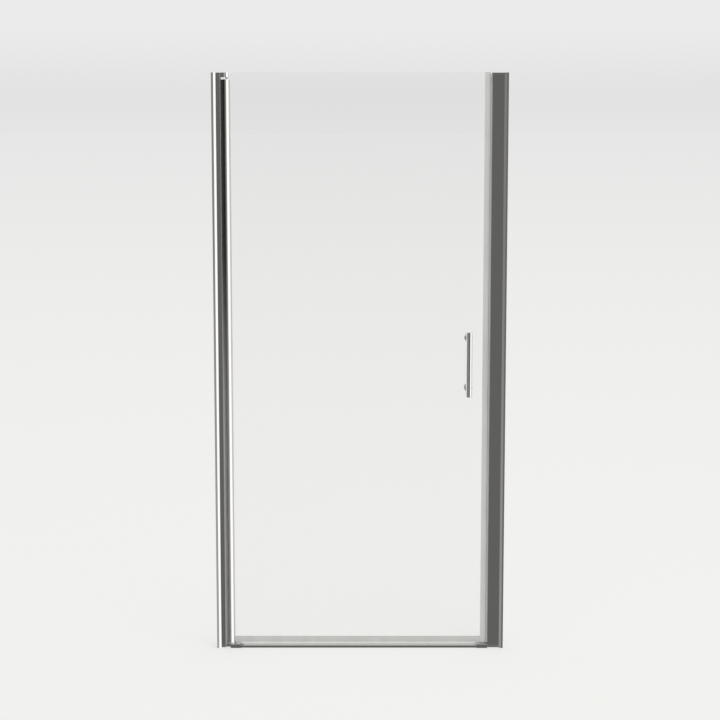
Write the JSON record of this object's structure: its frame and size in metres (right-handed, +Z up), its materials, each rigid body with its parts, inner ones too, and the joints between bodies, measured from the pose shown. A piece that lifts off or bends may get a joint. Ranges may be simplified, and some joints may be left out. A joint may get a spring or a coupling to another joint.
{
  "type": "pivot shower door",
  "caption": "Framed pivot shower door: glass leaf on a hinge stile, wall channels and jambs at both sides, magnetic edge seal, drip sweep, low sill and tubular pull handle.",
  "frame": {"origin": "middle of the sill's underside, midway between the two walls and on the middle plane of the glass", "axes": "+X to the right seen from outside the shower, from the hinge side to the strike side; +Y into the shower; +Z up"},
  "size_m": [0.92, 0.078, 1.831],
  "materials": {
    "polished_aluminium": "bright polished and anodised extrusion",
    "chromed_fittings": "bright chrome plate on cast or drawn metal",
    "stainless_steel": "turned stainless steel",
    "clear_glass": "clear toughened glass with polished edges",
    "clear_seal": "translucent flexible vinyl extrusion",
    "grey_gasket": "light grey flexible glazing strip",
    "black_seal": "soft black rubber strip",
    "white_nylon": "moulded white nylon",
    "magnet_strip": "flexible bonded magnet strip",
    "cover_plastic": "moulded silver grey plastic",
    "clear_washer": "clear moulded plastic"
  },
  "bodies": {
    "frame": {"hinge_wall_channel": "polished_aluminium", "strike_wall_channel": "polished_aluminium", "hinge_jamb": "polished_aluminium", "strike_jamb": "polished_aluminium", "top_pivot_bracket": "chromed_fittings", "bottom_pivot_bracket": "chromed_fittings", "top_pivot_pin": "stainless_steel", "bottom_pivot_pin": "stainless_steel", "pivot_thrust_washer": "white_nylon", "strike_top_cap": "chromed_fittings", "strike_foot_bracket": "chromed_fittings", "sill_bar": "polished_aluminium", "hinge_seal": "black_seal", "strike_magnet_carrier": "clear_seal", "strike_magnet": "magnet_strip", "hinge_lock_screws": "stainless_steel", "strike_lock_screws": "stainless_steel", "lock_screw_covers": "cover_plastic", "bracket_screws": "stainless_steel"},
    "leaf": {"glass_pane": "clear_glass", "hinge_stile": "polished_aluminium", "stile_top_bush": "white_nylon", "stile_bottom_bush": "white_nylon", "outer_glazing_gasket": "grey_gasket", "inner_glazing_gasket": "grey_gasket", "edge_seal": "clear_seal", "edge_magnet": "magnet_strip", "bottom_sweep": "clear_seal", "handle_bar": "chromed_fittings", "handle_end_caps": "chromed_fittings", "handle_posts": "chromed_fittings", "handle_rosettes": "chromed_fittings", "outer_handle_pads": "clear_washer", "inner_handle_pads": "clear_washer", "glass_hole_sleeves": "clear_washer", "handle_bolts": "stainless_steel", "inner_handle_caps": "chromed_fittings"}
  },
  "joints": [
    {"name": "door_swing", "type": "hinge", "parent": "frame", "child": "leaf", "pos_m": [-0.4125, 0, 0], "axis": [0, 0, -1], "range_deg": [0, 100]}
  ]
}
